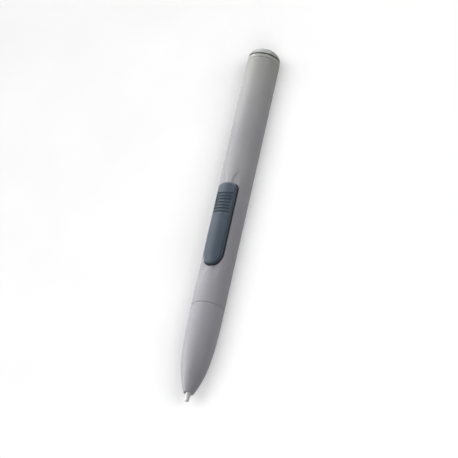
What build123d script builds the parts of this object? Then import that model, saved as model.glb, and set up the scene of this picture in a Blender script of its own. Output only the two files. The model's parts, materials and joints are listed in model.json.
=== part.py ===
from build123d import *
import math
import os

os.makedirs("parts", exist_ok=True)

# ---------------------------------------------------------------------------
# Digitiser stylus pen, lying along X: nib at -X, eraser end at +X, the side
# switch facing +Z.  All sizes in millimetres.  Stations along the pen ("x")
# are counted from the nib end and turned into row coordinates by X().
# ---------------------------------------------------------------------------
L = 142.7            # overall length, nib end to dome top
R = 6.0              # barrel radius
ZA = R               # height of the pen's axis above the surface it lies on
R_BORE = 5.0         # barrel bore radius

# stations of the outside seams
X_RIM = 3.3          # front rim of the nose cone
X_NOSE = 36.5        # seam between nose cone and barrel
X_END = 137.0        # seam between barrel and end collar
X_COLLAR = 138.5     # outer face of the end collar
V_GROOVE = 0.16      # width and depth of the fine bevel at each seam

# nose cone outline, station and radius
NOSE = [(3.3, 1.82), (4.9, 2.50), (6.5, 3.08), (8.5, 3.72), (10.5, 4.24),
        (13.0, 4.74), (15.5, 5.12), (19.0, 5.50), (22.5, 5.74), (26.5, 5.90),
        (30.5, 5.97), (36.5, 6.00)]

# side switch (rocker)
SW_X0, SW_X1 = 51.0, 84.2      # its two ends
SW_HW = 3.5                    # half width
SW_ROUND = 4.8                 # how far the rounded nib-side end reaches back
SW_CORNER = 2.0                # corner radius of the squarer far end
SW_GAP = 0.2                   # gap all round in the barrel's slot
SW_CROWN = 7.45                # height of the crown above the pen's axis
SW_ARC = 11.0                  # transverse crown radius
SW_SKIRT = 3.25                # height of the skirt's lower edge above the axis
SW_ROOF = 5.75                 # height of the hollow's roof above the axis
RIB_X0, RIB_PITCH, RIB_N = 71.96, 1.228, 7
RIB_R = 0.36                   # radius of the round grooves
PIVOT_X = 67.6                 # rocker pivot station
PIVOT_H = 2.4                  # pivot height above the axis
PIN_R = 0.75
PIN_CLEAR = 0.05

# triangular finger facets at both ends of the switch
DART_F, DART_R = 46.15, 90.0   # stations of their points
DART_Y = 3.05                  # lateral position of their points

# tact switches under the rocker
TACT_F, TACT_R = 57.0, 78.2
TACT_BTN_R = 0.70
TACT_TOP = 2.40                # top of a button above the axis

# circuit board
PCB_X0, PCB_X1, PCB_HW, PCB_T = 45.5, 117.5, 3.9, 0.8


def X(x):
    return x - L / 2


def rod(x0, x1, r):
    return Pos(X((x0 + x1) / 2), 0, ZA) * Rot(0, 90, 0) * Cylinder(r, x1 - x0)


def tube(x0, x1, ro, ri):
    return rod(x0, x1, ro) - rod(x0 - 1, x1 + 1, ri)


def block(x0, x1, y0, y1, h0, h1):
    return Pos(X((x0 + x1) / 2), (y0 + y1) / 2, ZA + (h0 + h1) / 2) * Box(
        x1 - x0, y1 - y0, h1 - h0)


def post(x, y, r, h0, h1):
    return Pos(X(x), y, ZA + (h0 + h1) / 2) * Cylinder(r, h1 - h0)


def turned(points, spline_until=0):
    """A solid of revolution about the pen's axis from (station, radius)
    points; the first spline_until points are joined by a smooth curve."""
    pts = [Vector(X(x), 0, ZA + r) for x, r in points]
    edges = []
    if spline_until:
        edges.append(Spline(*pts[:spline_until]))
        rest = pts[spline_until - 1:]
    else:
        rest = pts
    for a, b in zip(rest[:-1], rest[1:]):
        edges.append(Line(a, b))
    a, b = pts[-1], pts[0]
    edges.append(Line(a, b))
    face = Face(Wire(edges))
    return revolve(face, Axis((0, 0, ZA), (1, 0, 0)), 360)


def coil_spring(x0, x1, r_mean, r_wire, turns):
    pitch = (x1 - x0 - 2 * r_wire) / turns
    helix = Helix(pitch=pitch, height=x1 - x0 - 2 * r_wire, radius=r_mean,
                  center=(0, 0, 0), direction=(0, 0, 1))
    start = helix @ 0
    tangent = helix % 0
    prof = Plane(origin=start, z_dir=tangent) * Circle(r_wire)
    wire = sweep(prof, path=helix, is_frenet=True)
    return Pos(X(x0 + r_wire), 0, ZA) * Rot(0, 90, 0) * wire


def lead(points, r):
    """A round insulated wire along points (station, y, height)."""
    pts = [Vector(X(x), y, ZA + h) for x, y, h in points]
    path = FilletPolyline(*pts, radius=0.5)
    prof = Plane(origin=path @ 0, z_dir=path % 0) * Circle(r)
    return sweep(prof, path=path)


def save(shape, node):
    if isinstance(shape, (list, ShapeList)):
        shape = Compound(children=list(shape))
    export_step(shape, "parts/%s.step" % node)


# ---------------------------------------------------------------------------
# Side switch outline, seen from above: rounded towards the nib, squarer
# towards the eraser end
# ---------------------------------------------------------------------------
def switch_plan(grow):
    hw = SW_HW + grow
    x0, x1 = X(SW_X0) - grow, X(SW_X1) + grow
    rd, rc = SW_ROUND + grow, SW_CORNER + grow
    xe = x0 + rd
    left = []
    for i in range(0, 13):
        a = math.pi / 2 + math.pi * i / 12
        left.append(Vector(xe + rd * math.cos(a), hw * math.sin(a), 0))
    e = [
        Spline(*left, tangents=[(-1, 0, 0), (1, 0, 0)]),
        Line((xe, -hw, 0), (x1 - rc, -hw, 0)),
        RadiusArc((x1 - rc, -hw, 0), (x1 - 0.12, -hw + rc, 0), -rc),
        ThreePointArc((x1 - 0.12, -hw + rc, 0), (x1, 0, 0),
                      (x1 - 0.12, hw - rc, 0)),
        RadiusArc((x1 - 0.12, hw - rc, 0), (x1 - rc, hw, 0), -rc),
        Line((x1 - rc, hw, 0), (xe, hw, 0)),
    ]
    return Face(Wire(e))


def switch_prism(grow, h0, h1):
    return Pos(0, 0, ZA + h0) * extrude(switch_plan(grow), h1 - h0)


# ---------------------------------------------------------------------------
# Barrel: plain tube with the switch slot, four triangular finger facets and a
# narrow bevel along both sides of the slot
# ---------------------------------------------------------------------------
X_GRIP = 92.0        # the plain rear stretch starts behind the finger facets
FRONT_EASE = 0.01    # the front stretch is a hair slimmer than the rear one
EASE_LEN = 1.0       # and blends into it over this length
SEAM_TURN = 10.0 / 3.0   # turns the moulding seam off the resting line
barrel = rod(X_NOSE, X_GRIP - EASE_LEN, R - FRONT_EASE) + rod(X_GRIP, X_END, R)
barrel += Pos(X(X_GRIP - EASE_LEN / 2), 0, ZA) * Rot(0, 90, 0) * Cone(
    R - FRONT_EASE, R, EASE_LEN)
barrel -= rod(X_NOSE - 1, X_END + 1, R_BORE)
barrel = Pos(0, 0, ZA) * Rot(SEAM_TURN, 0, 0) * Pos(0, 0, -ZA) * barrel


def facet_cut(x_tip, x_base, side):
    """Half space above a shallow plane that meets the barrel at the facet's
    point and opens towards the switch."""
    def on(y, x):
        return Vector(X(x), side * y, ZA + math.sqrt(R * R - y * y))
    a, b, c = on(DART_Y, x_tip), on(3.68, x_base), on(1.05, x_base)
    n = (b - a).cross(c - a)
    if n.Z < 0:
        n = -n
    pl = Plane(origin=a, x_dir=(b - a), z_dir=n)
    tool = pl * Pos(0, 0, 3) * Box(40, 40, 6)
    lo, hi = min(x_tip, x_base), max(x_tip, x_base)
    y0, y1 = (0.25, 5.2) if side > 0 else (-5.2, -0.25)
    return tool & block(lo - 0.5, hi, y0, y1, 2, 8)


for tip, base in ((DART_F, SW_X0 + 2.2), (DART_R, SW_X1 - 1.2)):
    for side in (1, -1):
        lo, hi = min(tip, base), max(tip, base)
        barrel -= facet_cut(tip, base, side)

BEV_A, BEV_D = math.radians(38.0), 5.965
for side in (1, -1):
    n = Vector(0, side * math.sin(BEV_A), math.cos(BEV_A))
    org = Vector(X(SW_X0), 0, ZA) + n * BEV_D
    pl = Plane(origin=org, x_dir=(1, 0, 0), z_dir=n)
    tool = pl * Pos((SW_X1 - SW_X0) / 2 + 0.5, 0, 2) * Box(
        SW_X1 - SW_X0 - 3.4, 6, 4)
    barrel -= tool

barrel -= switch_prism(SW_GAP, 1.0, 9.0)

# fine bevels at the two seams
cut = turned([(X_NOSE - 0.01, R + 0.3), (X_NOSE - 0.01, R - V_GROOVE),
              (X_NOSE + V_GROOVE + 0.3, R + 0.3)])
barrel -= cut
cut = turned([(X_END + 0.01, R + 0.3), (X_END + 0.01, R - V_GROOVE),
              (X_END - V_GROOVE - 0.3, R + 0.3)])
barrel -= cut
save(barrel, "barrel")

# ---------------------------------------------------------------------------
# Nose cone: tapered tip section with the spigot that pushes into the barrel
# ---------------------------------------------------------------------------
R_FRONT_HOLE = 1.25
nose = turned(NOSE + [(X_NOSE, R_BORE), (42.0, R_BORE), (42.0, 0.0),
                      (X_RIM, 0.0)], spline_until=len(NOSE))
nose -= rod(X_RIM - 1, 43, R_FRONT_HOLE)       # nib hole
nose -= rod(4.6, 43, 1.60)                     # seat of the guide bush
nose -= rod(9.0, 43, 2.65)                     # coil bay
nose -= rod(34.6, 43, 3.90)                    # pressure sensor bay
SEAL_X, SEAL_R = 39.2, 0.35
nose -= tube(SEAL_X - 0.45, SEAL_X + 0.45, R_BORE + 0.5, R_BORE - 2 * SEAL_R)
nose -= turned([(X_NOSE + 0.01, R + 0.3), (X_NOSE + 0.01, R - V_GROOVE),
                (X_NOSE - V_GROOVE - 0.3, R + 0.3)])
save(nose, "nose_cone")

seal = Pos(X(SEAL_X), 0, ZA) * Rot(0, 90, 0) * Torus(R_BORE - SEAL_R, SEAL_R)
save(seal, "nose_seal")

# guide bush that the nib slides in
save(tube(4.6, 8.6, 1.60, 1.15), "nib_bush")

# ---------------------------------------------------------------------------
# Nib and its holder
# ---------------------------------------------------------------------------
nib = turned([(0.0, 0.0), (0.03, 0.28), (0.14, 0.52), (0.36, 0.69),
              (0.62, 0.75), (1.4, 0.80), (2.3, 0.90), (2.9, 1.02), (3.3, 1.10),
              (8.9, 1.10), (9.4, 0.80), (38.0, 0.80), (38.0, 0.0)])
save(nib, "nib")

holder = rod(35.4, 39.2, 1.40) + rod(38.6, 39.2, 2.20) + rod(39.2, 40.2, 1.20)
holder -= rod(35.0, 38.0, 0.80)
save(holder, "nib_holder")

# ---------------------------------------------------------------------------
# Nib coil: ferrite sleeve, bobbin, winding
# ---------------------------------------------------------------------------
save(tube(11.5, 34.0, 1.60, 0.90), "nib_ferrite")
bobbin = tube(11.0, 34.4, 1.90, 1.60) + tube(11.0, 11.7, 2.60, 1.60) + tube(
    33.7, 34.4, 2.60, 1.60)
bobbin -= rod(10.0, 11.5, 1.0)
save(bobbin, "nib_coil_bobbin")
save(tube(11.9, 33.5, 2.45, 1.90), "nib_coil")

# ---------------------------------------------------------------------------
# Nib pressure sensor
# ---------------------------------------------------------------------------
housing = rod(35.0, 43.0, 3.85)
housing -= rod(36.2, 42.3, 3.00)
housing -= rod(34.0, 37.0, 1.50)
housing -= block(34.5, 43.5, -4, 4, 3.05, 4)      # flat on top for the leads
housing -= rod(42.0, 44.0, 1.6)
save(housing, "nib_sensor_housing")
save(rod(40.7, 41.2, 1.30), "nib_sensor_rubber")
save(rod(41.2, 41.7, 2.90), "nib_sensor_disc")
plate = rod(41.7, 42.3, 3.00) + rod(42.3, 43.6, 0.5)
save(plate, "nib_sensor_plate")
save(coil_spring(39.26, 41.14, 1.78, 0.13, 4), "nib_spring")

# ---------------------------------------------------------------------------
# Carrier: trough that fills the lower half of the bore and holds the board
# ---------------------------------------------------------------------------
C_R = 4.95
carrier = rod(43.0, 120.0, C_R)
carrier -= block(42, 121, -6, 6, -0.4, 6)
carrier -= rod(45.0, 118.0, 4.1) - block(42, 121, -6, 6, -0.4, 6)
for a, b in ((43.0, 45.0), (118.0, 120.0)):
    carrier += rod(a, b, C_R) - block(a - 1, b + 1, -6, 6, 1.0, 6)
for xr in (63.0, 84.0, 101.0):                    # cross ribs
    carrier += (rod(xr, xr + 1.0, C_R) - block(xr - 1, xr + 2, -6, 6, -0.4, 6))
carrier -= rod(42.5, 45.5, 0.9) + block(42, 46, -0.9, 0.9, 0.0, 1.5)
save(carrier, "carrier")

# ---------------------------------------------------------------------------
# Circuit board and what sits on it
# ---------------------------------------------------------------------------
H_TOP = PCB_T / 2
board = block(PCB_X0, PCB_X1, -PCB_HW, PCB_HW, -PCB_T / 2, PCB_T / 2)
for bx, by in ((65.2, 2.0), (65.2, -2.0), (70.0, 2.0), (70.0, -2.0)):
    board -= post(bx, by, 0.45, -1, 1)
save(board, "main_board")

bracket = block(64.4, 70.8, -2.6, 2.6, H_TOP, 0.95)
for side in (1, -1):
    y0, y1 = sorted((side * 1.3, side * 2.3))
    cheek = block(66.2, 69.0, y0, y1, 0.9, PIVOT_H)
    cheek += Pos(X(PIVOT_X), side * 1.8, ZA + PIVOT_H) * Rot(90, 0, 0) * Cylinder(1.4, 1.0)
    bracket += cheek
for bx, by in ((65.2, 2.0), (65.2, -2.0), (70.0, 2.0), (70.0, -2.0)):
    bracket += post(bx, by, 0.45, -0.39, 0.5)
bracket -= Pos(X(PIVOT_X), 0, ZA + PIVOT_H) * Rot(90, 0, 0) * Cylinder(PIN_R, 8)
save(bracket, "pivot_bracket")

pin = Pos(X(PIVOT_X), 0, ZA + PIVOT_H) * Rot(90, 0, 0) * Cylinder(PIN_R, 4.6)
save(pin, "pivot_pin")

for name, x in (("front_tact", TACT_F), ("rear_tact", TACT_R)):
    body = block(x - 1.6, x + 1.6, -1.5, 1.5, H_TOP, 1.8)
    body -= post(x, 0, TACT_BTN_R + 0.05, 1.4, 3.0)
    body -= post(x, 0, TACT_BTN_R + 0.35, 0.80, 1.45)
    for sx in (-1, 1):
        for sy in (-1, 1):
            body += block(x + sx * 1.6 - 0.35, x + sx * 1.6 + 0.35,
                          sy * 1.0 - 0.25, sy * 1.0 + 0.25, H_TOP, 0.62)
    save(body, name + "_body")
    button = post(x, 0, TACT_BTN_R, 1.2, TACT_TOP)
    button = fillet(button.edges().sort_by(Axis.Z)[-1], 0.12)
    save(button, name + "_button")

chip = block(88.2, 93.6, -2.2, 2.2, 0.5, 1.45)
chip_legs = []
for i in range(8):
    for sy in (1, -1):
        y0, y1 = sorted((sy * 2.2, sy * 3.0))
        chip_legs.append(block(88.4 + i * 0.68, 88.4 + i * 0.68 + 0.3, y0, y1,
                               H_TOP, 0.72))
for leg in chip_legs:
    chip += leg
save(chip, "controller_chip")

caps = []
for cx, cy in ((48.2, 1.9), (48.2, -1.9), (51.6, 2.2), (62.0, 1.9),
               (62.0, -1.9), (73.4, 1.8), (73.4, -1.8), (97.2, 1.6),
               (97.2, -1.6), (100.2, 1.6), (109.8, 1.7), (112.4, 1.7)):
    caps.append(block(cx - 0.8, cx + 0.8, cy - 0.42, cy + 0.42, H_TOP, 1.15))
save(caps, "chip_capacitors")

trimmer = post(105.2, 0, 1.75, H_TOP, 1.5) + post(105.2, 0, 1.2, 1.5, 1.8)
trimmer -= block(104.1, 106.3, -0.17, 0.17, 1.55, 2.0)
save(trimmer, "trimmer_capacitor")

# ---------------------------------------------------------------------------
# Side switch: a hollow rocker cap with a hinge lug and two presser posts
# ---------------------------------------------------------------------------
sw = switch_prism(0.0, SW_SKIRT, SW_CROWN + 0.5)
# long profile of the crown
prof = [(SW_X0 - 0.6, 5.90), (51.6, 6.62), (53.2, 7.02), (57.0, 7.30),
        (62.0, 7.42), (66.0, 7.40), (70.0, 7.28), (71.6, 7.26),
        (79.6, 7.30), (80.8, 7.20), (82.8, 6.90), (SW_X1 + 0.6, 6.40)]
pts = [Vector(X(x), 0, ZA + h) for x, h in prof]
edges = [Spline(*pts),
         Line(pts[-1], (pts[-1].X, 0, ZA)),
         Line((pts[-1].X, 0, ZA), (pts[0].X, 0, ZA)),
         Line((pts[0].X, 0, ZA), pts[0])]
side_face = Face(Wire(edges))
long_shape = Pos(0, -5, 0) * extrude(side_face, 10, dir=(0, 1, 0))
sw = sw & long_shape
crown = Pos(X(67), 0, ZA + SW_CROWN - SW_ARC) * Rot(0, 90, 0) * Cylinder(SW_ARC, 60)
sw = sw & crown
# soften the upper rim
try:
    rim = [e for e in sw.edges() if e.center().Z > ZA + 5.6]
    sw = fillet(rim, 0.45)
except Exception:
    try:
        sw = chamfer(rim, 0.3)
    except Exception:
        pass
# hollow underside
hollow = switch_prism(-0.9, SW_SKIRT - 1, SW_ROOF)
sw -= hollow
# finger grooves across the crown
for i in range(RIB_N):
    gx = RIB_X0 + i * RIB_PITCH
    ring = Pos(X(gx), 0, ZA + 7.33 - SW_ARC) * Rot(0, 90, 0) * Torus(SW_ARC, RIB_R)
    ring = ring & block(gx - 1, gx + 1, -2.75, 2.75, 5.5, 9)
    sw -= ring
# hinge lug and presser posts
lug = block(PIVOT_X - 1.3, PIVOT_X + 1.3, -1.0, 1.0, PIVOT_H, SW_ROOF + 0.3)
lug += Pos(X(PIVOT_X), 0, ZA + PIVOT_H) * Rot(90, 0, 0) * Cylinder(1.3, 2.0)
lug -= Pos(X(PIVOT_X), 0, ZA + PIVOT_H) * Rot(90, 0, 0) * Cylinder(PIN_R + PIN_CLEAR, 8)
sw += lug
for x in (TACT_F, TACT_R):
    sw += post(x, 0, 1.1, TACT_TOP + 0.03, SW_ROOF + 0.3)
save(sw, "side_switch")

# ---------------------------------------------------------------------------
# Eraser end
# ---------------------------------------------------------------------------
collar = rod(X_END, X_COLLAR, R - 0.02) + rod(131.0, X_END, R_BORE)
collar -= rod(130.0, X_END, 3.95)
collar -= rod(X_END - 1, X_COLLAR + 1, 1.60)
collar -= turned([(X_END - 0.01, R + 0.3), (X_END - 0.01, R - V_GROOVE),
                  (X_END + V_GROOVE + 0.3, R + 0.3)])
outer = [e for e in collar.edges().filter_by(GeomType.CIRCLE)
         if abs(e.radius - (R - 0.02)) < 1e-3 and e.center().X > X(X_COLLAR) - 0.01]
if outer:
    collar = fillet(outer, 0.25)
save(collar, "end_collar")

DOME_X0, DOME_H, DOME_R, DOME_BASE = 138.6, 4.1, 5.93, 138.95
pts = [(DOME_BASE, 0.0), (DOME_BASE, DOME_R - 0.25)]
n = 14
curve = []
for i in range(n + 1):
    a = (math.pi / 2) * i / n
    x = DOME_X0 + DOME_H * math.sin(a)
    r = DOME_R * math.cos(a)
    if x >= DOME_BASE + 0.12:
        curve.append((x, r))
curve.insert(0, (DOME_BASE + 0.12, DOME_R * math.sqrt(
    1 - ((DOME_BASE + 0.12 - DOME_X0) / DOME_H) ** 2)))
curve[-1] = (DOME_X0 + DOME_H, 0.0)
vs = [Vector(X(x), 0, ZA + r) for x, r in curve]
e = [Line(Vector(X(DOME_BASE), 0, ZA), Vector(X(DOME_BASE), 0, ZA + DOME_R - 0.25)),
     Line(Vector(X(DOME_BASE), 0, ZA + DOME_R - 0.25), vs[0]),
     Spline(*vs, tangents=[Vector(0.35, 0, -0.06), Vector(0, 0, -1)]),
     Line(vs[-1], Vector(X(DOME_BASE), 0, ZA))]
dome = revolve(Face(Wire(e)), Axis((0, 0, ZA), (1, 0, 0)), 360)
dome -= rod(DOME_BASE - 1, 141.0, 1.20)
save(dome, "eraser_tip")

stem = rod(123.4, 141.0, 1.20) + rod(123.4, 124.0, 2.20) + rod(122.6, 123.4, 1.10)
save(stem, "eraser_stem")

ehouse = rod(120.0, 125.4, 3.90) - rod(121.0, 126.0, 3.00)
ehouse -= rod(119.0, 122.0, 0.9)
save(ehouse, "eraser_sensor_housing")
save(tube(125.4, 126.2, 3.90, 1.35), "eraser_sensor_cap")
save(rod(121.0, 121.5, 2.90), "eraser_sensor_disc")
save(rod(121.5, 122.1, 1.30), "eraser_sensor_rubber")
save(coil_spring(121.56, 123.34, 1.78, 0.13, 4), "eraser_spring")

eb = tube(126.4, 136.6, 2.30, 2.00) + tube(126.4, 126.9, 3.85, 2.00) + tube(
    136.1, 136.6, 3.85, 2.00)
save(eb, "eraser_coil_bobbin")
save(tube(127.0, 136.0, 3.35, 2.30), "eraser_coil")
save(tube(126.5, 136.5, 2.00, 1.30), "eraser_ferrite")

# ---------------------------------------------------------------------------
# Lead wires
# ---------------------------------------------------------------------------
WIRE = 0.16
leads = []
for sy in (1, -1):
    leads.append(lead([(34.81, sy * 0.6, 2.00), (34.81, sy * 0.6, 3.40),
                       (43.8, sy * 0.6, 3.40), (46.6, sy * 0.6, 0.62)], WIRE))
save(leads, "nib_leads")
leads = []
for sy in (1, -1):
    leads.append(lead([(126.6, sy * 0.6, 4.15), (120.4, sy * 0.6, 4.25),
                       (118.6, sy * 0.6, 3.6), (116.4, sy * 0.6, 0.62)], WIRE))
save(leads, "eraser_leads")
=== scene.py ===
import json
import math

import bmesh
import bpy
import numpy as np
from mathutils import Matrix, Vector

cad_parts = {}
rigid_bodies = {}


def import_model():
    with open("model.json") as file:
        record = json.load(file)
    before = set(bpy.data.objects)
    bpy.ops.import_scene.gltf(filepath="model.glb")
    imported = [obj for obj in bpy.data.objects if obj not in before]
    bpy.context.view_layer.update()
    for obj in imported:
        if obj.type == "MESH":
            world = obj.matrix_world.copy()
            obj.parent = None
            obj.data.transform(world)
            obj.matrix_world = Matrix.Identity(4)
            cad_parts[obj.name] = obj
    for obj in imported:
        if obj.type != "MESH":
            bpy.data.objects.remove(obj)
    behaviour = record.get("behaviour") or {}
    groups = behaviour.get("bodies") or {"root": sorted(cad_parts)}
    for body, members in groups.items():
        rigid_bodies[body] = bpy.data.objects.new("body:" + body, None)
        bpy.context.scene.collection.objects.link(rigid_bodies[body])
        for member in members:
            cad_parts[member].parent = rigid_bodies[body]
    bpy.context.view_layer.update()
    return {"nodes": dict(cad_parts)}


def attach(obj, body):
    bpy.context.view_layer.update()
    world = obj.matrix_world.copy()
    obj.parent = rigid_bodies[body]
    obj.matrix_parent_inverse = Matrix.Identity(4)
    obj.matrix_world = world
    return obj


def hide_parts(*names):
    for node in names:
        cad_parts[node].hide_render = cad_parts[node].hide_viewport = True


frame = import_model()

# ---------------------------------------------------------------------------
# Sizes, in millimetres.  Stations along the pen are counted from the nib end
# and turned into frame coordinates by P().
# ---------------------------------------------------------------------------
MM = 0.001
L = 142.7
R = 6.0
ZA = 6.0
R_BORE = 5.0
X_RIM, X_NOSE, X_END, X_COLLAR = 3.3, 36.5, 137.0, 138.5
NOSE = [(3.3, 1.82), (4.9, 2.50), (6.5, 3.08), (8.5, 3.72), (10.5, 4.24),
        (13.0, 4.74), (15.5, 5.12), (19.0, 5.50), (22.5, 5.74), (26.5, 5.90),
        (30.5, 5.97), (36.5, 6.00)]
SW_X0, SW_X1, SW_HW = 51.0, 84.2, 3.5
SW_ROUND, SW_CORNER, SW_BULGE, SW_GAP = 4.8, 2.0, 0.12, 0.2
SW_CROWN, SW_ARC, SW_SKIRT, SW_ROOF = 7.45, 8.0, 3.25, 5.75
RIB_X0, RIB_PITCH, RIB_N = 71.96, 1.228, 7
PIVOT_X, PIVOT_H, PIN_R = 67.6, 2.4, 0.75
TACT_F, TACT_R, TACT_TOP = 57.0, 78.2, 2.40
DART_F, DART_R, DART_Y = 46.15, 90.0, 3.05


def P(x, y, h):
    """Frame position, in metres, of a point given by station, side offset and
    height above the pen's axis."""
    return ((x - L / 2) * MM, y * MM, (ZA + h) * MM)


# ---------------------------------------------------------------------------
# Curve helpers
# ---------------------------------------------------------------------------
def natural_spline(pts, xs):
    x = np.array([p[0] for p in pts], float)
    y = np.array([p[1] for p in pts], float)
    n = len(x)
    h = np.diff(x)
    A = np.zeros((n, n))
    b = np.zeros(n)
    A[0, 0] = A[-1, -1] = 1.0
    for i in range(1, n - 1):
        A[i, i - 1], A[i, i], A[i, i + 1] = h[i - 1], 2 * (h[i - 1] + h[i]), h[i]
        b[i] = 6 * ((y[i + 1] - y[i]) / h[i] - (y[i] - y[i - 1]) / h[i - 1])
    m = np.linalg.solve(A, b)
    xs = np.clip(np.asarray(xs, float), x[0], x[-1])
    k = np.clip(np.searchsorted(x, xs, side="right") - 1, 0, n - 2)
    d0, d1 = xs - x[k], x[k + 1] - xs
    return (m[k] * d1 ** 3 / (6 * h[k]) + m[k + 1] * d0 ** 3 / (6 * h[k])
            + (y[k] / h[k] - m[k] * h[k] / 6) * d1
            + (y[k + 1] / h[k] - m[k + 1] * h[k] / 6) * d0)


def rounded(points, steps=5):
    """Points (x, r, corner radius) turned into a polyline with round corners."""
    out = []
    n = len(points)
    for i, (x, r, rad) in enumerate(points):
        if rad <= 0 or i == 0 or i == n - 1:
            out.append((x, r))
            continue
        p = np.array([x, r])
        a = np.array(points[i - 1][:2]) - p
        b = np.array(points[i + 1][:2]) - p
        la, lb = np.linalg.norm(a), np.linalg.norm(b)
        a, b = a / la, b / lb
        cosang = float(np.clip(np.dot(a, b), -1, 1))
        half = math.acos(cosang) / 2
        t = min(rad / math.tan(half), la * 0.49, lb * 0.49)
        q0, q1 = p + a * t, p + b * t
        for k in range(steps + 1):
            w = k / steps
            c = (1 - w) ** 2 * q0 + 2 * w * (1 - w) * p + w ** 2 * q1
            out.append((float(c[0]), float(c[1])))
    return out


# ---------------------------------------------------------------------------
# Materials
# ---------------------------------------------------------------------------
def lin(v):
    """Screen value 0..255 to linear."""
    v = v / 255.0
    return v / 12.92 if v <= 0.04045 else ((v + 0.055) / 1.055) ** 2.4


def srgb(r, g, b):
    return (lin(r), lin(g), lin(b), 1.0)


class Mat:
    def __init__(self, name):
        self.m = bpy.data.materials.new(name)
        self.m.use_nodes = True
        self.nt = self.m.node_tree
        self.nt.nodes.clear()
        self.out = self.nt.nodes.new("ShaderNodeOutputMaterial")
        self.b = self.nt.nodes.new("ShaderNodeBsdfPrincipled")
        self.nt.links.new(self.b.outputs[0], self.out.inputs[0])
        self.co = self.nt.nodes.new("ShaderNodeTexCoord").outputs["Object"]

    def new(self, kind, **kw):
        n = self.nt.nodes.new(kind)
        for k, v in kw.items():
            setattr(n, k, v)
        return n

    def link(self, a, b):
        self.nt.links.new(a, b)

    def mapped(self, scale=(1, 1, 1), loc=(0, 0, 0)):
        n = self.new("ShaderNodeMapping")
        n.inputs["Scale"].default_value = scale
        n.inputs["Location"].default_value = loc
        self.link(self.co, n.inputs["Vector"])
        return n.outputs[0]

    def noise(self, scale, detail=3, rough=0.5, stretch=(1, 1, 1), loc=(0, 0, 0)):
        n = self.new("ShaderNodeTexNoise")
        n.inputs["Scale"].default_value = scale
        n.inputs["Detail"].default_value = detail
        n.inputs["Roughness"].default_value = rough
        self.link(self.mapped(stretch, loc), n.inputs["Vector"])
        return n.outputs["Fac"]

    def ramp(self, fac, stops):
        n = self.new("ShaderNodeValToRGB")
        el = n.color_ramp.elements
        while len(el) < len(stops):
            el.new(0.5)
        for e, (p, c) in zip(el, stops):
            e.position = p
            e.color = c if len(c) == 4 else (*c, 1.0)
        self.link(fac, n.inputs[0])
        return n.outputs[0]

    def span(self, fac, a, b, c, d):
        n = self.new("ShaderNodeMapRange")
        n.inputs["From Min"].default_value = a
        n.inputs["From Max"].default_value = b
        n.inputs["To Min"].default_value = c
        n.inputs["To Max"].default_value = d
        self.link(fac, n.inputs["Value"])
        return n.outputs[0]

    def math(self, op, a, b=None):
        n = self.new("ShaderNodeMath", operation=op)
        for i, v in enumerate((a, b)):
            if v is None:
                continue
            if isinstance(v, (int, float)):
                n.inputs[i].default_value = v
            else:
                self.link(v, n.inputs[i])
        return n.outputs[0]

    def mix(self, fac, a, b, blend="MIX"):
        n = self.new("ShaderNodeMix", data_type="RGBA", blend_type=blend)
        for sock, v in ((n.inputs[0], fac), (n.inputs[6], a), (n.inputs[7], b)):
            if isinstance(v, (int, float)):
                sock.default_value = v
            elif isinstance(v, tuple):
                sock.default_value = v if len(v) == 4 else (*v, 1.0)
            else:
                self.link(v, sock)
        return n.outputs[2]

    def axis(self, which):
        n = self.new("ShaderNodeSeparateXYZ")
        self.link(self.co, n.inputs[0])
        return n.outputs[which]

    def bump(self, height, strength, distance):
        n = self.new("ShaderNodeBump")
        n.inputs["Strength"].default_value = strength
        n.inputs["Distance"].default_value = distance
        self.link(height, n.inputs["Height"])
        if self.b.inputs["Normal"].is_linked:
            self.link(self.b.inputs["Normal"].links[0].from_socket,
                      n.inputs["Normal"])
        self.link(n.outputs[0], self.b.inputs["Normal"])

    def set(self, **kw):
        names = {"color": "Base Color", "rough": "Roughness", "metal": "Metallic",
                 "coat": "Coat Weight", "coat_rough": "Coat Roughness",
                 "spec": "Specular IOR Level", "ior": "IOR",
                 "trans": "Transmission Weight", "sss": "Subsurface Weight",
                 "sss_scale": "Subsurface Scale", "sss_radius": "Subsurface Radius",
                 "sheen": "Sheen Weight", "aniso": "Anisotropic"}
        for k, v in kw.items():
            s = self.b.inputs[names[k]]
            if isinstance(v, (int, float, tuple)):
                s.default_value = v
            else:
                self.link(v, s)
        return self


def moulded_plastic(name, dark, mid, light, rough=(0.46, 0.56), grain=1.0,
                    lengthwise=None, spec=0.20, coat=0.0, scale=1.0):
    """Satin injection-moulded plastic: cloudy tone, fine spark-eroded grain,
    faint flow marks along the part and a painted highlight on convex edges."""
    m = Mat(name)
    cloud = m.noise(90 * scale, 4, 0.55, (0.45, 1, 1))
    base = m.ramp(cloud, [(0.30, dark), (0.5, mid), (0.72, light)])
    if lengthwise:
        along = m.span(m.axis(0), -0.0714, 0.0714, 0.0, 1.0)
        tint = m.ramp(along, lengthwise)
        base = m.mix(1.0, base, tint, "MULTIPLY")
    speck = m.noise(5200 * scale, 2, 0.6)
    base = m.mix(m.span(speck, 0.35, 0.75, 0.0, 0.10), base,
                 tuple(min(1.0, c * 1.35) for c in light[:3]) + (1.0,))
    # painted highlight: convex edges are given a lighter colour, standing in for light catching the
    # edges
    edge = m.new("ShaderNodeNewGeometry").outputs["Pointiness"]
    edge_highlight_mask = m.span(edge, 0.53, 0.62, 0.0, 0.18)
    base = m.mix(edge_highlight_mask, base, tuple(min(1.0, c * 1.6) for c in light[:3]) + (1.0,))
    m.set(color=base, spec=spec, coat=coat)
    m.set(rough=m.span(m.noise(260 * scale, 3, 0.6), 0.3, 0.7, *rough))
    m.bump(m.noise(3800 * scale, 2, 0.65), 0.10 * grain, 0.00004)
    m.bump(m.noise(240 * scale, 2, 0.5, (0.35, 1, 1)), 0.05 * grain, 0.00012)
    return m.m


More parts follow.
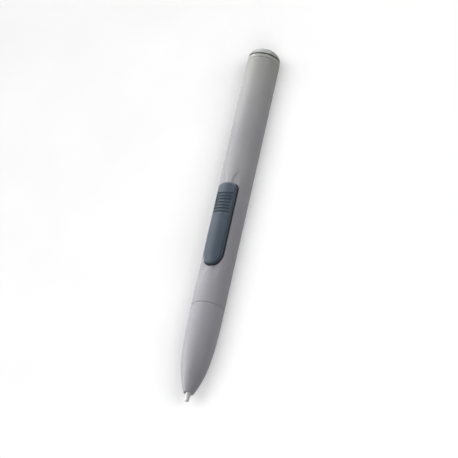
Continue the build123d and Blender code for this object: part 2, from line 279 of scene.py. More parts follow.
def metal(name, dark, light, rough=(0.22, 0.36), brush=(1, 14, 14)):
    m = Mat(name)
    m.set(metal=1.0, color=m.ramp(m.noise(500, 4, 0.6, brush), [(0.3, dark), (0.7, light)]))
    m.set(rough=m.span(m.noise(900, 3, 0.6, brush), 0.3, 0.7, *rough))
    m.bump(m.noise(2600, 2, 0.6, brush), 0.15, 0.00002)
    return m.m


def winding(name, dark, light, pitch):
    """Enamelled copper wire laid turn by turn along the pen."""
    m = Mat(name)
    w = m.new("ShaderNodeTexWave", wave_type="BANDS", bands_direction="X",
              wave_profile="SIN")
    w.inputs["Scale"].default_value = 0.314 / (pitch * MM) / 2
    w.inputs["Distortion"].default_value = 0.25
    w.inputs["Detail"].default_value = 1.0
    m.link(m.co, w.inputs["Vector"])
    turns = w.outputs["Fac"]
    m.set(color=m.ramp(turns, [(0.05, dark), (0.6, light)]), metal=0.9, coat=0.6)
    m.set(coat_rough=0.15)
    m.set(rough=m.span(m.noise(700, 3), 0.3, 0.7, 0.22, 0.36))
    m.bump(turns, 0.8, 0.00006)
    return m.m


def ceramic_like(name, dark, light, rough=(0.45, 0.62)):
    m = Mat(name)
    m.set(color=m.ramp(m.noise(2400, 4, 0.7), [(0.32, dark), (0.7, light)]))
    m.set(rough=m.span(m.noise(900, 3), 0.3, 0.7, *rough))
    m.bump(m.noise(4200, 3, 0.7), 0.25, 0.00003)
    return m.m


def rubbery(name, dark, light):
    m = Mat(name)
    m.set(color=m.ramp(m.noise(1500, 4, 0.6), [(0.3, dark), (0.7, light)]), spec=0.3)
    m.set(rough=m.span(m.noise(800, 3), 0.3, 0.7, 0.62, 0.78))
    m.bump(m.noise(3000, 3, 0.6), 0.2, 0.00004)
    return m.m


def circuit_board(name):
    """Green solder mask over copper traces that run along the board."""
    m = Mat(name)
    v = m.new("ShaderNodeTexBrick")
    v.offset = 0.5
    v.inputs["Scale"].default_value = 260.0
    v.inputs["Mortar Size"].default_value = 0.03
    v.inputs["Brick Width"].default_value = 2.8
    v.inputs["Row Height"].default_value = 0.22
    v.inputs["Color1"].default_value = (0, 0, 0, 1)
    v.inputs["Color2"].default_value = (0, 0, 0, 1)
    v.inputs["Mortar"].default_value = (1, 1, 1, 1)
    m.link(m.co, v.inputs["Vector"])
    trace = v.outputs["Color"]
    mask = m.ramp(m.noise(160, 3), [(0.3, srgb(16, 74, 42)), (0.7, srgb(22, 92, 54))])
    m.set(color=m.mix(trace, mask, srgb(60, 132, 78)), coat=0.5)
    m.set(coat_rough=0.12)
    m.set(rough=m.span(m.noise(500, 3), 0.3, 0.7, 0.30, 0.42))
    m.bump(trace, 0.4, 0.00004)
    return m.m


def domed_polymer(name):
    """Polished, faintly translucent pale grey polymer."""
    m = Mat(name)
    cloud = m.noise(180, 3, 0.5)
    m.set(color=m.ramp(cloud, [(0.3, srgb(94, 96, 92)), (0.7, srgb(104, 106, 102))]))
    m.set(rough=m.span(m.noise(420, 3), 0.3, 0.7, 0.34, 0.42), spec=0.28, ior=1.49,
          sss=0.35, sss_scale=0.0012, sss_radius=(1.0, 1.0, 0.95), coat=0.0)
    m.bump(m.noise(1600, 2), 0.04, 0.00003)
    return m.m


GREY_DARK, GREY_MID, GREY_LIGHT = srgb(111, 111, 111), srgb(116, 116, 116), srgb(121, 121, 121)
TINT = [(0.0, (0.936, 0.922, 1.0, 1)), (0.45, (0.936, 0.922, 1.0, 1)),
        (0.67, (0.926, 0.922, 0.968, 1)), (0.81, (0.922, 0.922, 0.94, 1)),
        (0.89, (0.918, 0.922, 0.91, 1)), (1.0, (0.908, 0.922, 0.86, 1))]
M_BODY = moulded_plastic("body_plastic", GREY_DARK, GREY_MID, GREY_LIGHT, lengthwise=TINT)
M_NOSE = moulded_plastic("nose_plastic", GREY_DARK, GREY_MID, GREY_LIGHT,
                         lengthwise=TINT, rough=(0.40, 0.50))
M_SWITCH = moulded_plastic("switch_plastic", srgb(39, 48, 57), srgb(43, 52, 62),
                           srgb(48, 58, 68), rough=(0.42, 0.50), grain=0.7, spec=0.25)
M_COLLAR = moulded_plastic("collar_plastic", srgb(112, 113, 109), srgb(118, 119, 115),
                           srgb(124, 125, 121), rough=(0.24, 0.34), grain=0.5, coat=0.2)
M_DOME = domed_polymer("eraser_polymer")
M_NIB = moulded_plastic("nib_plastic", srgb(148, 148, 147), srgb(156, 156, 155),
                        srgb(163, 163, 161), rough=(0.34, 0.46), grain=0.8, scale=2.0)
M_BLACK = moulded_plastic("inner_plastic", srgb(24, 24, 26), srgb(30, 30, 32), srgb(38, 38, 40))
M_NATURAL = moulded_plastic("natural_plastic", srgb(196, 190, 172), srgb(206, 200, 183),
                            srgb(214, 209, 193), rough=(0.36, 0.48))
M_CHIP = moulded_plastic("chip_plastic", srgb(20, 20, 22), srgb(26, 26, 28), srgb(32, 32, 34),
                         rough=(0.5, 0.62), scale=2.0)
M_STEEL = metal("bright_steel", srgb(150, 151, 153), srgb(192, 193, 195))
M_BRASS = metal("plain_brass", srgb(176, 142, 72), srgb(206, 172, 96))
M_GOLD = metal("contact_metal", srgb(196, 160, 84), srgb(224, 190, 110), rough=(0.16, 0.26))
M_COIL = winding("enamelled_copper", srgb(88, 34, 14), srgb(196, 104, 58), 0.14)
M_FERRITE = ceramic_like("ferrite", srgb(40, 39, 39), srgb(62, 60, 60))
M_CERAMIC = ceramic_like("disc_ceramic", srgb(206, 202, 190), srgb(226, 222, 212), (0.3, 0.42))
M_CAP = ceramic_like("capacitor_ceramic", srgb(150, 122, 88), srgb(178, 148, 110))
M_RUBBER = rubbery("black_elastomer", srgb(22, 22, 22), srgb(36, 36, 36))
M_PAD = rubbery("conductive_silicone", srgb(40, 40, 42), srgb(58, 58, 60))
M_WIRE = moulded_plastic("lead_insulation", srgb(132, 24, 20), srgb(150, 30, 25),
                         srgb(168, 40, 33), rough=(0.3, 0.4), scale=2.0)
M_BOARD = circuit_board("circuit_board")


# ---------------------------------------------------------------------------
# Mesh helpers
# ---------------------------------------------------------------------------
def make_object(name, bm, mat, angle=32.0, merge=2e-6):
    bmesh.ops.remove_doubles(bm, verts=bm.verts, dist=merge)
    bmesh.ops.recalc_face_normals(bm, faces=bm.faces)
    me = bpy.data.meshes.new(name)
    bm.to_mesh(me)
    bm.free()
    for p in me.polygons:
        p.use_smooth = True
    me.set_sharp_from_angle(angle=math.radians(angle))
    me.materials.append(mat)
    ob = bpy.data.objects.new(name, me)
    bpy.context.scene.collection.objects.link(ob)
    return ob


def grid_faces(bm, rows, close_u=False, close_v=False):
    """Quads between rows of vertices; u runs along a row, v from row to row."""
    n = len(rows)
    for j in range(n if close_v else n - 1):
        a, b = rows[j], rows[(j + 1) % n]
        m = len(a)
        for i in range(m if close_u else m - 1):
            k = (i + 1) % m
            q = [a[i], a[k], b[k], b[i]]
            q = [v for t, v in enumerate(q) if v not in q[:t]]
            if len(q) >= 3:
                try:
                    bm.faces.new(q)
                except ValueError:
                    pass


def lathe_into(bm, profile, seg=160, closed=False):
    rows = []
    for x, r in profile:
        if r < 1e-6:
            v = bm.verts.new(P(x, 0, 0))
            rows.append([v] * seg)
        else:
            rows.append([bm.verts.new(P(x, r * math.sin(2 * math.pi * i / seg),
                                        r * math.cos(2 * math.pi * i / seg)))
                         for i in range(seg)])
    grid_faces(bm, rows, close_u=True, close_v=closed)


def lathe(name, profile, mat, seg=160, closed=False, angle=32.0):
    bm = bmesh.new()
    lathe_into(bm, profile, seg, closed)
    return make_object(name, bm, mat, angle)


# ---------------------------------------------------------------------------
# Nose cone
# ---------------------------------------------------------------------------
def nose_profile():
    V = 0.16
    xs = np.concatenate([np.linspace(X_RIM + 0.22, 12.0, 46), np.linspace(12.3, X_NOSE - V - 0.14, 70)])
    rs = natural_spline(NOSE, xs)
    out = [(X_RIM + 0.9, 1.25), (X_RIM + 0.12, 1.25)]
    # rounded mouth of the nib hole, flat front rim, rounded outer edge
    out += [(X_RIM + 0.05, 1.28), (X_RIM + 0.01, 1.35), (X_RIM, 1.42), (X_RIM, 1.60),
            (X_RIM + 0.015, 1.70), (X_RIM + 0.06, 1.79), (X_RIM + 0.13, 1.855)]
    out += [(float(x), float(r)) for x, r in zip(xs, rs)]
    # bevel down to the seam
    out += [(X_NOSE - V - 0.06, R - 0.004), (X_NOSE - V, R - 0.03),
            (X_NOSE - 0.10, R - 0.085), (X_NOSE - 0.03, R - 0.15),
            (X_NOSE, R - 0.20)]
    # spigot inside the barrel, then the bays back to the nib hole
    out += [(X_NOSE, R_BORE), (42.0 - 0.2, R_BORE), (42.0, R_BORE - 0.2), (42.0, 3.90),
            (34.6, 3.90), (34.6, 2.65), (9.0, 2.65), (9.0, 1.60), (4.6, 1.60), (4.6, 1.25),
            (X_RIM + 0.9, 1.25)]
    return out


nose = lathe("nose_cone_shell", nose_profile()[:-1], M_NOSE, seg=192, closed=True, angle=40)
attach(nose, "handle")
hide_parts("nose_cone")


# ---------------------------------------------------------------------------
# Barrel shell: a revolved tube whose skin is re-meshed around the switch slot,
# with the finger facets and the slot's bevel worked into the skin
# ---------------------------------------------------------------------------
DART_LEAN = math.radians(18.0)
DART_OUT, DART_IN, DART_LONG = 3.40, 1.15, 3.3


def facet_planes():
    """Four finger facets.  Each is a nearly level cut that starts at a point
    and widens towards the slot; the tongue between a pair keeps the barrel's
    own surface and stands above them."""
    out = []
    for tip, way in ((DART_F, 1), (DART_R, -1)):
        for side in (1, -1):
            def on(y, x):
                return np.array([x, side * y, math.sqrt(R * R - y * y)])
            a, b = on(DART_Y, tip), on(DART_OUT, tip + way * DART_LONG)
            c = b + np.array([0.0, -side * math.cos(DART_LEAN), math.sin(DART_LEAN)])
            n = np.cross(b - a, c - a)
            n /= np.linalg.norm(n)
            if n[2] < 0:
                n = -n
            out.append((side, tip, way, a, n))
    return out


FACETS = facet_planes()
BEV_A, BEV_D = math.radians(38.0), 5.965
LIP = 0.36


def smin(a, b, k=0.02):
    h = max(k - abs(a - b), 0.0) / k
    return min(a, b) - h * h * k * 0.25


def skin_radius(x, th):
    """Outer radius of the barrel at station x and angle th from the switch."""
    r = R
    u = np.array([0.0, math.sin(th), math.cos(th)])
    for side, tip, way, a, n in FACETS:
        along = way * (x - tip) / DART_LONG
        if 0 < along < 2.2 and side * math.sin(th) > 0.02:
            d = float(np.dot(n, a - np.array([x, 0, 0])) / np.dot(n, u))
            if d < r:
                edge = DART_Y + (DART_IN - DART_Y) * min(along, 1.0)
                w = (R * side * math.sin(th) - edge + 0.42) / 0.90
                w = min(max(w, 0.0), 1.0)
                w = w * w * (3 - 2 * w) * min(1.0, (2.2 - along) / 0.5)
                r = smin(r, r - (r - d) * w)
    for side in (1, -1):
        if side * math.sin(th) > 0.05:
            d = BEV_D / (side * u[1] * math.sin(BEV_A) + u[2] * math.cos(BEV_A))
            # the bevel fades in and out at its two ends
            fade = min((x - (SW_X0 + 1.6)) / 1.2, ((SW_X1 - 0.9) - x) / 1.0)
            if fade > 0:
                d = R - (R - d) * min(fade, 1.0) if d < R else d
                r = smin(r, d)
    return r


def slot_outline(grow, n_end=64, n_side=110):
    """Slot edge as four runs of (x, y): nib-side end, one side, far end,
    other side, each run ending where the next begins."""
    hw = SW_HW + grow
    x0, x1 = SW_X0 - grow, SW_X1 + grow
    rd, rc = SW_ROUND + grow, SW_CORNER + grow
    xe = x0 + rd
    a = np.linspace(math.pi / 2, 3 * math.pi / 2, n_end + 1)
    end0 = [(xe + rd * math.cos(t), hw * math.sin(t)) for t in a]
    xs = np.linspace(xe, x1 - rc, n_side + 1)
    side0 = [(x, -hw) for x in xs]
    nc = n_end // 4
    c1 = [(x1 - rc + (rc - SW_BULGE) * math.sin(t), -hw + rc - rc * math.cos(t))
          for t in np.linspace(0, math.pi / 2, nc + 1)]
    yb = np.linspace(-hw + rc, hw - rc, n_end - 2 * nc + 1)
    flat = [(x1 - SW_BULGE * (y / (hw - rc)) ** 2, y) for y in yb]
    c2 = [(x, -y) for x, y in reversed(c1)]
    end1 = c1 + flat[1:-1] + c2
    side1 = [(x, hw) for x in xs[::-1]]
    return [end0, side0, end1, side1]


def barrel_mesh():
    V = 0.16
    bm = bmesh.new()
    PX0, PX1, TH = 43.5, 92.5, math.radians(78)
    N_END, N_SIDE, LOOPS = 64, 150, 64
    back = np.linspace(TH, 2 * math.pi - TH, 90)       # angles behind the patch

    def skin(outer):
        rs = R if outer else R_BORE
        runs = slot_outline(SW_GAP + (LIP if outer else 0), N_END, N_SIDE)
        inner, border = [], []
        # run 0: nib-side end <-> front border, from +TH to -TH
        for i, (x, y) in enumerate(runs[0][:-1]):
            w = i / N_END
            inner.append((x, math.asin(y / rs)))
            border.append((PX0, TH * (1 - 2 * w)))
        for i, (x, y) in enumerate(runs[1][:-1]):
            w = i / N_SIDE
            inner.append((x, math.asin(y / rs)))
            border.append((PX0 + (PX1 - PX0) * w, -TH))
        n_far = len(runs[2]) - 1
        for i, (x, y) in enumerate(runs[2][:-1]):
            w = i / n_far
            inner.append((x, math.asin(y / rs)))
            border.append((PX1, -TH * (1 - 2 * w)))
        for i, (x, y) in enumerate(runs[3][:-1]):
            w = i / N_SIDE
            inner.append((x, math.asin(y / rs)))
            border.append((PX1 - (PX1 - PX0) * w, TH))
        return inner, border, n_far

    def ring_radius(x, th, outer):
        if not outer:
            return R_BORE
        return skin_radius(x, th)

    def vert(x, th, r):
        return bm.verts.new(P(x, r * math.sin(th), r * math.cos(th)))

    loops = {}
    for outer in (True, False):
        inner, border, n_far = skin(outer)
        ws = [(k / LOOPS) ** 1.35 for k in range(LOOPS + 1)] if outer else [0, 0.25, 0.5, 0.75, 1.0]
        rows = []
        for w in ws:
            row = []
            for (xa, ta), (xb, tb) in zip(inner, border):
                x, th = xa + (xb - xa) * w, ta + (tb - ta) * w
                row.append(vert(x, th, ring_radius(x, th, outer)))
            rows.append(row)
        loops[outer] = rows
        grid_faces(bm, rows, close_u=True)
        # plain skin behind the patch, over the same stations
        xs = [PX0 + (PX1 - PX0) * i / N_SIDE for i in range(N_SIDE + 1)]
        rs = R if outer else R_BORE
        back_rows = [[vert(x, t, rs) for t in back] for x in xs]
        grid_faces(bm, back_rows)
        # full rings in front of and behind the patch
        front = [TH * (1 - 2 * i / N_END) for i in range(N_END + 1)][::-1]
        far = [-TH * (1 - 2 * i / n_far) for i in range(n_far + 1)]
        for xs2, ths, tail in (
                (np.linspace(X_NOSE + V + 0.20, PX0, 16), front, "front"),
                (np.linspace(PX1, X_END - V - 0.20, 60), far, "far")):
            ang = list(ths) + list(back[1:-1])
            if outer:
                xr = list(xs2)
                if tail == "front":
                    ends = [(X_NOSE, R - 0.20), (X_NOSE + 0.03, R - 0.15),
                            (X_NOSE + 0.10, R - 0.085), (X_NOSE + V, R - 0.03),
                            (X_NOSE + V + 0.06, R - 0.004)]
                    prof = ends + [(x, R) for x in xr]
                else:
                    ends = [(X_END - V - 0.06, R - 0.004), (X_END - V, R - 0.03),
                            (X_END - 0.10, R - 0.085), (X_END - 0.03, R - 0.15),
                            (X_END, R - 0.20)]
                    prof = [(x, R) for x in xr] + ends
            else:
                prof = ([(X_NOSE, R_BORE)] + [(x, R_BORE) for x in xs2] if tail == "front"
                        else [(x, R_BORE) for x in xs2] + [(X_END, R_BORE)])
            rows2 = [[vert(x, t, r) for t in ang] for x, r in prof]
            grid_faces(bm, rows2, close_u=True)
            loops[(outer, tail)] = rows2
    # slot edge: a quarter-round lip, then straight down to the bore
    io, ii = loops[True][0], loops[False][0]
    wall_rows = [io]
    for k in range(1, 7):
        a = math.pi / 2 * k / 6
        runs = slot_outline(SW_GAP + LIP * (1 - math.sin(a)), N_END, N_SIDE)
        drop = LIP * (1 - math.cos(a))
        row = []
        for x, y in (p for run in runs for p in run[:-1]):
            th = math.asin(y / R)
            row.append(bm.verts.new(P(x, y, skin_radius(x, th) * math.cos(th) - drop)))
        wall_rows.append(row)
    wall_rows.append([bm.verts.new((v.co.x, v.co.y, v.co.z - 0.2 * MM)) for v in wall_rows[-1]])
    wall_rows.append(ii)
    grid_faces(bm, wall_rows, close_u=True)
    # end faces of the tube
    for tail, k in (("front", 0), ("far", -1)):
        grid_faces(bm, [loops[(True, tail)][k], loops[(False, tail)][k]], close_u=True)
    return bm


barrel = make_object("barrel_shell", barrel_mesh(), M_BODY, angle=38, merge=4e-7)
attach(barrel, "handle")
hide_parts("barrel")


# ---------------------------------------------------------------------------
# Side switch
# ---------------------------------------------------------------------------
CROWN = [(SW_X0 - 0.6, 5.90), (51.6, 6.62), (53.2, 7.02), (57.0, 7.30),
         (62.0, 7.42), (66.0, 7.40), (70.0, 7.28), (71.6, 7.26),
         (79.6, 7.30), (80.8, 7.28), (82.8, 7.20), (SW_X1 + 0.6, 7.08)]


def switch_half_width(x, inset=0.0):
    hw = SW_HW - inset
    x0, x1 = SW_X0 + inset, SW_X1 - inset
    rd, rc = SW_ROUND - inset, max(SW_CORNER - inset, 0.2)
    xe = x0 + rd
    if x <= x0 or x >= x1:
        return 0.0
    if x < xe:
        return hw * math.sqrt(max(0.0, 1 - ((xe - x) / rd) ** 2))
    if x > x1 - rc:
        xc = x1 - SW_BULGE
        if x > xc:
            return (hw - rc) * math.sqrt((x1 - x) / SW_BULGE)
        t = (x - (x1 - rc)) / (rc - SW_BULGE)
        return hw - rc + rc * math.sqrt(max(0.0, 1 - t * t))
    return hw


def outline_points(inset=0.0, n=900):
    pts = []
    x0, x1 = SW_X0 + inset, SW_X1 - inset
    for i in range(n + 1):
        c = 0.5 - 0.5 * math.cos(math.pi * i / n)
        x = x0 + (x1 - x0) * c
        w = switch_half_width(x, inset)
        pts.append((x, w))
        pts.append((x, -w))
    return np.array(pts)


OUT = outline_points()
EDGE_R = 0.62
RIDGE, FLANK = 0.65, math.tan(math.radians(19.0))


def groove(x):
    d = 0.0
    for i in range(RIB_N):
        g = RIB_X0 + i * RIB_PITCH
        t = abs(x - g) / 0.50
        if t < 1:
            d = max(d, 0.42 * (1 - t * t) ** 0.8)
    return d


def switch_top(x, y):
    crown = float(natural_spline(CROWN, [x])[0])
    # a soft ridge along the middle with nearly flat flanks
    fall = math.sqrt(RIDGE ** 2 + (y * FLANK) ** 2) - RIDGE
    h = crown - fall
    # grooves stop short of the sides
    side = np.clip((3.22 - abs(y)) / 0.30, 0, 1)
    side = side * side * (3 - 2 * side)
    h -= groove(x) * float(side)
    d = float(np.sqrt(((OUT - np.array([x, y])) ** 2).sum(1)).min())
    if d < EDGE_R:
        h -= EDGE_R - math.sqrt(max(0.0, EDGE_R ** 2 - (EDGE_R - d) ** 2))
    return h


def switch_mesh():
    bm = bmesh.new()
    n_end = 26
    xs = []
    for i in range(n_end):
        xs.append(SW_X0 + 5.0 * (1 - math.cos(math.pi / 2 * i / n_end)))
    x = SW_X0 + 5.0
    while x < SW_X1 - 2.2:
        xs.append(x)
        x += 0.10 if RIB_X0 - 1 < x < RIB_X0 + RIB_PITCH * RIB_N + 0.2 else 0.4
    for i in range(n_end + 1):
        xs.append(SW_X1 - 2.2 * (1 - math.sin(math.pi / 2 * i / n_end)))
    xs[0], xs[-1] = SW_X0, SW_X1
    NV = 44
    vs = [math.sin(math.pi / 2 * (2 * k / NV - 1)) for k in range(NV + 1)]
    top, border_p, border_n = [], [], []
    for x in xs:
        w = switch_half_width(x)
        if w < 1e-4:
            v = bm.verts.new(P(x, 0, switch_top(x, 0)))
            top.append([v] * (NV + 1))
        else:
            top.append([bm.verts.new(P(x, w * s, switch_top(x, w * s))) for s in vs])
    grid_faces(bm, top)
    rim = [row[-1] for row in top] + [row[0] for row in reversed(top[1:-1])]
    # dedupe poles
    loop = []
    for v in rim:
        if not loop or loop[-1] is not v:
            loop.append(v)
    levels = [loop]
    for h in (5.6, 4.6, SW_SKIRT + 0.15, SW_SKIRT):
        levels.append([bm.verts.new((v.co.x, v.co.y, (ZA + h) * MM)) for v in loop])
    # underside: the hollow between skirt and roof
    cx = (SW_X0 + SW_X1) / 2
    inset = []
    for v in loop:
        x, y = v.co.x / MM + L / 2, v.co.y / MM
        xi = min(max(x, SW_X0 + 0.9), SW_X1 - 0.9)
        xi = SW_X0 + 0.9 + (x - SW_X0) * (SW_X1 - SW_X0 - 1.8) / (SW_X1 - SW_X0)
        w = switch_half_width(xi, 0.9)
        wo = switch_half_width(x)
        yy = y / wo * w if wo > 1e-3 else 0.0
        inset.append((xi, yy))
    levels.append([bm.verts.new(P(x, y, SW_SKIRT)) for x, y in inset])
    levels.append([bm.verts.new(P(x, y, SW_ROOF)) for x, y in inset])
    grid_faces(bm, levels, close_u=True)
    bm.faces.new(levels[-1])
    return bm


def join(name, objs, mat, angle=32.0):
    """One object from several closed meshes."""
    bm = bmesh.new()
    for o in objs:
        bm.from_mesh(o.data)
        bpy.data.objects.remove(o)
    me = bpy.data.meshes.new(name)
    bm.to_mesh(me)
    bm.free()
    for p in me.polygons:
        p.use_smooth = True
    me.set_sharp_from_angle(angle=math.radians(angle))
    me.materials.append(mat)
    ob = bpy.data.objects.new(name, me)
    bpy.context.scene.collection.objects.link(ob)
    return ob


def post_mesh(name, x, y, r, h0, h1, mat, seg=40, axis="Z"):
    """A short post with softened edges."""
    bm = bmesh.new()
    e = min(0.12, r * 0.2)
    prof = rounded([(h0, 0, 0), (h0, r, e), (h1, r, e), (h1, 0, 0)], 3)
    rows = []
    for h, rr in prof:
        if rr < 1e-6:
            v = bm.verts.new(P(x, y, h)) if axis == "Z" else bm.verts.new(P(x, h, y))
            rows.append([v] * seg)
        else:
            ring = []
            for i in range(seg):
                a = 2 * math.pi * i / seg
                if axis == "Z":
                    ring.append(bm.verts.new(P(x + rr * math.cos(a), y + rr * math.sin(a), h)))
                else:
                    ring.append(bm.verts.new(P(x + rr * math.cos(a), h, y + rr * math.sin(a))))
            rows.append(ring)
    grid_faces(bm, rows, close_u=True)
    return make_object(name, bm, mat)


cap = make_object("switch_cap_tmp", switch_mesh(), M_SWITCH, angle=50, merge=2e-7)
p1 = post_mesh("t1", TACT_F, 0, 1.1, TACT_TOP + 0.03, SW_ROOF + 0.2, M_SWITCH)
p2 = post_mesh("t2", TACT_R, 0, 1.1, TACT_TOP + 0.03, SW_ROOF + 0.2, M_SWITCH)


def lug_mesh():
    """Hinge lug with the bore for the pin."""
    bm = bmesh.new()
    n = 48
    ro, ri = 1.3, PIN_R + 0.05
    outer, inner = [], []
    for i in range(n):
        a = 2 * math.pi * i / n
        cx, cz = math.cos(a), math.sin(a)
        ox, oz = ro * cx, ro * cz
        if cz > 0:                       # the upper half runs up to the roof
            oz = (SW_ROOF + 0.2 - PIVOT_H) * min(1.0, cz * 1.6) if abs(cx) < 0.999 else 0
            ox = ro * max(-1, min(1, cx * 1.6))
        outer.append((ox, oz))
        inner.append((ri * cx, ri * cz))
    rows = []
    for y, pts in ((-1.0, inner), (-1.0, outer), (1.0, outer), (1.0, inner)):
        rows.append([bm.verts.new(P(PIVOT_X + x, y, PIVOT_H + z)) for x, z in pts])
    grid_faces(bm, rows, close_u=True, close_v=True)
    return make_object("t3", bm, M_SWITCH)


p3 = lug_mesh()
switch = join("side_switch_cap", [cap, p1, p2, p3], M_SWITCH, 50)
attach(switch, "switch")
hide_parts("side_switch")

# ---------------------------------------------------------------------------
# Nib
# ---------------------------------------------------------------------------
nib_prof = [(0.0, 0.0)]
for i in range(1, 11):
    a = math.pi / 2 * i / 10
    nib_prof.append((0.55 * (1 - math.cos(a)), 0.74 * math.sin(a)))
nib_prof += [(0.9, 0.765), (1.4, 0.80), (1.9, 0.845), (2.4, 0.91), (2.8, 0.985),
             (3.1, 1.05), (3.35, 1.095), (3.6, 1.10), (8.8, 1.10), (8.95, 1.08),
             (9.4, 0.80), (37.9, 0.80), (38.0, 0.72), (38.0, 0.0)]
nib = lathe("writing_nib", nib_prof, M_NIB, seg=72, angle=50)
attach(nib, "nib")
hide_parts("nib")

# ---------------------------------------------------------------------------
# End collar and eraser dome
# ---------------------------------------------------------------------------
V = 0.16
collar_prof = [(X_END, R_BORE), (X_END, R - 0.20), (X_END + 0.03, R - 0.15),
               (X_END + 0.10, R - 0.085), (X_END + V, R - 0.045), (X_END + V + 0.08, R - 0.02),
               (X_END + 0.6, R - 0.02), (X_COLLAR - 0.30, R - 0.02)]
for i in range(1, 7):
    a = math.pi / 2 * i / 6
    collar_prof.append((X_COLLAR - 0.25 + 0.25 * math.sin(a), R - 0.27 + 0.25 * math.cos(a)))
collar_prof += [(X_COLLAR, 5.2), (X_COLLAR, 1.75), (X_COLLAR - 0.15, 1.60), (X_END - 0.0, 1.60),
                (X_END, 3.95), (131.0, 3.95), (131.0, R_BORE - 0.2), (131.2, R_BORE)]
collar = lathe("tail_collar", collar_prof, M_COLLAR, seg=192, closed=True, angle=40)
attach(collar, "handle")
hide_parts("end_collar")

DOME_X0, DOME_H, DOME_R, DOME_BASE = 138.6, 4.1, 5.93, 138.95
dome_prof = [(DOME_BASE, 1.20), (DOME_BASE, DOME_R - 0.30), (DOME_BASE + 0.02, DOME_R - 0.16),
             (DOME_BASE + 0.07, DOME_R - 0.07)]
for i in range(0, 49):
    a = math.asin((DOME_BASE + 0.16 - DOME_X0) / DOME_H)
    a = a + (math.pi / 2 - a) * i / 48
    r = DOME_R * math.cos(a)
    dome_prof.append((DOME_X0 + DOME_H * math.sin(a), r if i < 48 else 0.0))
dome_prof += [(141.0, 0.0), (141.0, 1.20)]
# closed profile: outside skin to the pole, then back along the stem's socket
bm = bmesh.new()
lathe_into(bm, dome_prof[:-2], seg=192)
lathe_into(bm, [(DOME_BASE, 1.20), (141.0, 1.20), (141.0, 0.0)], seg=192)
dome = make_object("eraser_dome", bm, M_DOME, angle=40, merge=1e-6)
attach(dome, "eraser")
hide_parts("eraser_tip")

# ---------------------------------------------------------------------------
# The inner works keep their CAD shapes
# ---------------------------------------------------------------------------
FINISH = {
    "nose_seal": M_RUBBER, "nib_bush": M_BRASS, "nib_holder": M_NATURAL,
    "nib_ferrite": M_FERRITE, "nib_coil_bobbin": M_NATURAL, "nib_coil": M_COIL,
    "nib_sensor_housing": M_BLACK, "nib_sensor_rubber": M_PAD, "nib_sensor_disc": M_CERAMIC,
    "nib_sensor_plate": M_GOLD, "nib_spring": M_STEEL, "carrier": M_BLACK,
    "main_board": M_BOARD, "pivot_bracket": M_NATURAL, "pivot_pin": M_STEEL,
    "front_tact_body": M_STEEL, "rear_tact_body": M_STEEL, "front_tact_button": M_CHIP,
    "rear_tact_button": M_CHIP, "controller_chip": M_CHIP, "chip_capacitors": M_CAP,
    "trimmer_capacitor": M_BRASS, "eraser_stem": M_NATURAL,
    "eraser_sensor_housing": M_BLACK, "eraser_sensor_cap": M_BLACK,
    "eraser_sensor_disc": M_CERAMIC, "eraser_sensor_rubber": M_PAD, "eraser_spring": M_STEEL,
    "eraser_coil_bobbin": M_NATURAL, "eraser_coil": M_COIL, "eraser_ferrite": M_FERRITE,
    "nib_leads": M_WIRE, "eraser_leads": M_WIRE,
}
for node, mat in FINISH.items():
    me = frame["nodes"][node].data
    if me.materials:
        for i in range(len(me.materials)):
            me.materials[i] = mat
    else:
        me.materials.append(mat)

# ---------------------------------------------------------------------------
# Floor, lights, camera
# ---------------------------------------------------------------------------
def floor_material():
    m = Mat("pale_floor")
    m.set(color=m.ramp(m.noise(30, 3), [(0.3, (0.90, 0.90, 0.90, 1)), (0.7, (0.93, 0.93, 0.93, 1))]),
          spec=0.1)
    m.set(rough=m.span(m.noise(60, 3), 0.3, 0.7, 0.75, 0.85))
    return m.m


bm = bmesh.new()
S = 1.6
bm.faces.new([bm.verts.new(c) for c in ((-S, -S, 0), (S, -S, 0), (S, S, 0), (-S, S, 0))])
floor = make_object("studio_floor", bm, floor_material())


def area_light(name, loc, target, size, power, color=(1, 1, 1), size_y=None):
    ld = bpy.data.lights.new(name, "AREA")
    ld.energy = power
    ld.color = color
    ld.shape = "RECTANGLE" if size_y else "SQUARE"
    ld.size = size
    if size_y:
        ld.size_y = size_y
    ob = bpy.data.objects.new(name, ld)
    bpy.context.scene.collection.objects.link(ob)
    loc, target = Vector(loc), Vector(target)
    ob.location = loc
    ob.rotation_euler = (loc - target).to_track_quat("Z", "Y").to_euler()
    return ob


# camera: the photograph's angle
N = Vector((-0.42567, -0.40278, 0.81029)).normalized()
U = Vector((0.88241, 0.01356, 0.47029))
U = (U - N * U.dot(N)).normalized()
RT = U.cross(N)
DIST = 1.186
target = Vector((-0.00085, 0.0, 0.006)) + RT * 0.000757 - U * 0.001655
cam_data = bpy.data.cameras.new("studio_camera")
cam_data.sensor_width = 36.0
cam_data.lens = 36.0 * DIST / (458 / 2.783 * MM)
cam_data.clip_start = 0.05
cam = bpy.data.objects.new("studio_camera", cam_data)
bpy.context.scene.collection.objects.link(cam)
loc = target + N * DIST
cam.matrix_world = Matrix((
    (RT.x, U.x, N.x, loc.x), (RT.y, U.y, N.y, loc.y), (RT.z, U.z, N.z, loc.z), (0, 0, 0, 1)))
bpy.context.scene.camera = cam

# Soft boxes.  The object's own lights are flagged off the floor, and the
# floor's lights are flagged off the object, so that the ground stays white and
# the contact shadow stays soft and even on both sides.
on_pen = bpy.data.collections.new("lit_pen")
on_floor = bpy.data.collections.new("lit_floor")
for ob in bpy.context.scene.objects:
    if ob.type == "MESH":
        (on_floor if ob is floor else on_pen).objects.link(ob)


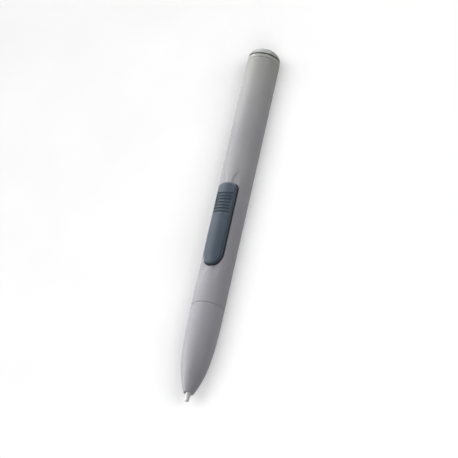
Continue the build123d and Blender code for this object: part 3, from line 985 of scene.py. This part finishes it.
def around(turn, lean):
    """Direction from the pen: turned about its axis from straight up (minus is
    towards +Y), then leant towards +X."""
    a, b = math.radians(turn), math.radians(lean)
    return Vector((math.sin(b), -math.sin(a) * math.cos(b), math.cos(a) * math.cos(b)))


CENTRE = Vector((0, 0, 0.006))
for name, turn, lean, power, size, dist, receivers in (
        ("key_side", -75, 0, 10.1, 0.5, 0.9, on_pen),
        ("key_tail", -75, 60, 17.5, 0.9, 0.9, on_pen),
        ("key_high", -60, 35, 1.6, 0.5, 0.9, on_pen),
        ("top_box", -30, 0, 6.2, 0.5, 0.9, on_pen),
        ("top_front", 20, -35, 3.3, 0.5, 0.9, on_pen),
        ("fill_tail", 40, 60, 9.0, 0.5, 0.9, on_pen),
        ("floor_near", 50, 0, 8.3, 0.8, 1.3, on_floor),
        ("floor_nib", 27, -40, 7.1, 0.8, 1.3, on_floor),
        ("floor_far", -30, 0, 4.7, 0.8, 1.3, on_floor),
        ("floor_top", 0, 0, 3.5, 0.8, 1.3, on_floor)):
    lamp = area_light(name, CENTRE + around(turn, lean) * dist, CENTRE, size, power)
    lamp.light_linking.receiver_collection = receivers

# surround: pale overhead, falling away towards the horizon
world = bpy.data.worlds.new("studio_world")
bpy.context.scene.world = world
world.use_nodes = True
wt = world.node_tree
bg = wt.nodes["Background"]
co = wt.nodes.new("ShaderNodeTexCoord")
xyz = wt.nodes.new("ShaderNodeSeparateXYZ")
sky = wt.nodes.new("ShaderNodeValToRGB")
wt.links.new(co.outputs["Generated"], xyz.inputs[0])
wt.links.new(xyz.outputs[2], sky.inputs[0])
wt.links.new(sky.outputs[0], bg.inputs[0])
el = sky.color_ramp.elements
el[0].position, el[0].color = 0.0, (0.10, 0.10, 0.10, 1)
el[1].position, el[1].color = 1.0, (0.25, 0.25, 0.25, 1)
for pos, v in ((0.30, 0.12), (0.60, 0.32), (0.80, 0.30)):
    e = el.new(pos)
    e.color = (v, v, v, 1)
bg.inputs[1].default_value = 0.66

bpy.context.scene.view_settings.view_transform = "Standard"
bpy.context.scene.view_settings.look = "None"
bpy.context.scene.view_settings.exposure = 0.0
bpy.context.scene.view_settings.gamma = 1.0
